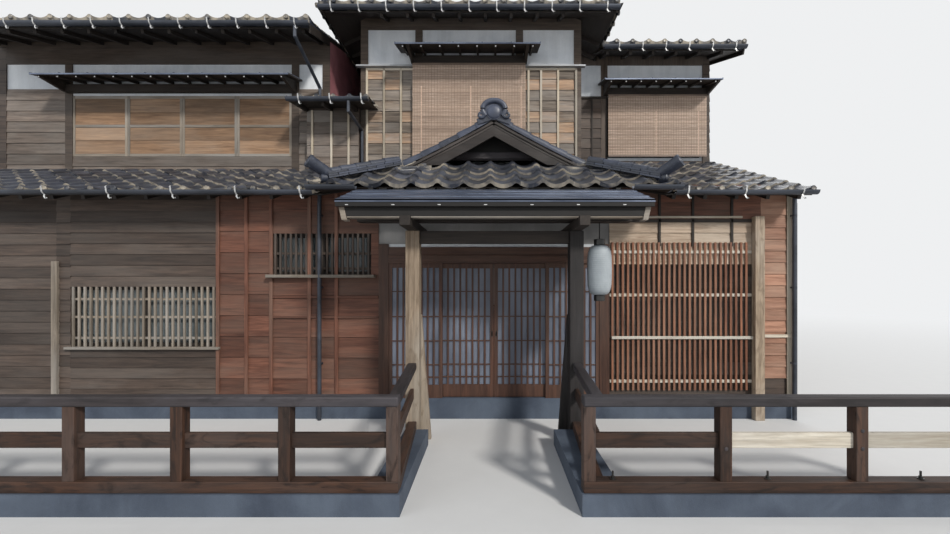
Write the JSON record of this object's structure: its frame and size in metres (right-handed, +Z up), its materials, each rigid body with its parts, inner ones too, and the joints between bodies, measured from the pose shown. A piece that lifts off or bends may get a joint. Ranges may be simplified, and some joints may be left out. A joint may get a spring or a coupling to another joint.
{
  "type": "townhouse",
  "caption": "Timber machiya townhouse with a hip-and-gable entrance porch, latticed sliding doors, tiled pent roofs and a low timber fence.",
  "frame": {"origin": "centre of the whole house and fence in plan, at street level", "axes": "+X to the right along the street front, +Y into the house, +Z up"},
  "size_m": [12.52, 10.3943, 7.2058],
  "materials": {
    "roof_tile": "matte",
    "plaster": "matte",
    "dark_timber": "matte",
    "weathered_boards": "matte",
    "door_lattice_wood": "satin",
    "pale_timber": "matte",
    "clear_glass": "gloss",
    "reed": "matte",
    "sheet_copper": "satin",
    "maroon_sheet": "satin",
    "pipe_metal": "satin",
    "concrete": "matte",
    "paper": "matte",
    "black_lacquer": "gloss",
    "floor_boards": "satin"
  },
  "bodies": {
    "house": {"block_front_wall": "plaster", "block_roof": "roof_tile", "block_side_walls": "plaster", "door_lintel": "dark_timber", "door_posts": "dark_timber", "door_sill": "pale_timber", "fence": "dark_timber", "fixed_screens": "door_lattice_wood", "floors": "floor_boards", "foundation": "concrete", "gable_boards": "weathered_boards", "gable_panel": "dark_timber", "head_band": "dark_timber", "inner_posts": "dark_timber", "kerb": "concrete", "lantern_fittings": "black_lacquer", "lantern_paper": "paper", "left_ground_wall": "weathered_boards", "left_party_wall": "plaster", "left_wing_roof": "roof_tile", "left_wing_wall": "plaster", "light_strip": "plaster", "link_roof": "roof_tile", "link_wall": "weathered_boards", "lintel_track": "dark_timber", "maroon_gable_wall": "maroon_sheet", "metal_eave": "sheet_copper", "pent_roofs": "roof_tile", "porch_arms": "dark_timber", "porch_beams": "dark_timber", "porch_posts": "dark_timber", "porch_rafters": "dark_timber", "porch_ridges": "roof_tile", "porch_side_slopes": "roof_tile", "porch_skirt": "roof_tile", "rain_shutters": "weathered_boards", "rainwater_pipes": "pipe_metal", "rear_wall": "plaster", "reed_blinds": "reed", "right_end_wall": "plaster", "right_ground_wall": "weathered_boards", "right_wing_roof": "roof_tile", "right_wing_wall": "plaster", "screen_glass": "clear_glass", "screen_post": "pale_timber", "street_screen": "dark_timber", "upper_face_posts": "dark_timber", "upper_ridges": "roof_tile", "wall_over_door": "plaster", "window_glass": "clear_glass", "window_roofs": "sheet_copper", "window_sashes": "dark_timber"},
    "left_leaf": {"left_door": "door_lattice_wood", "left_door_glass": "clear_glass"},
    "right_leaf": {"right_door": "door_lattice_wood", "right_door_glass": "clear_glass"}
  },
  "joints": [
    {"name": "left_leaf_slide", "type": "slide", "parent": "house", "child": "left_leaf", "axis": [-1, 0, 0], "range_m": [0, 0.655]},
    {"name": "right_leaf_slide", "type": "slide", "parent": "house", "child": "right_leaf", "axis": [1, 0, 0], "range_m": [0, 0.655]}
  ]
}
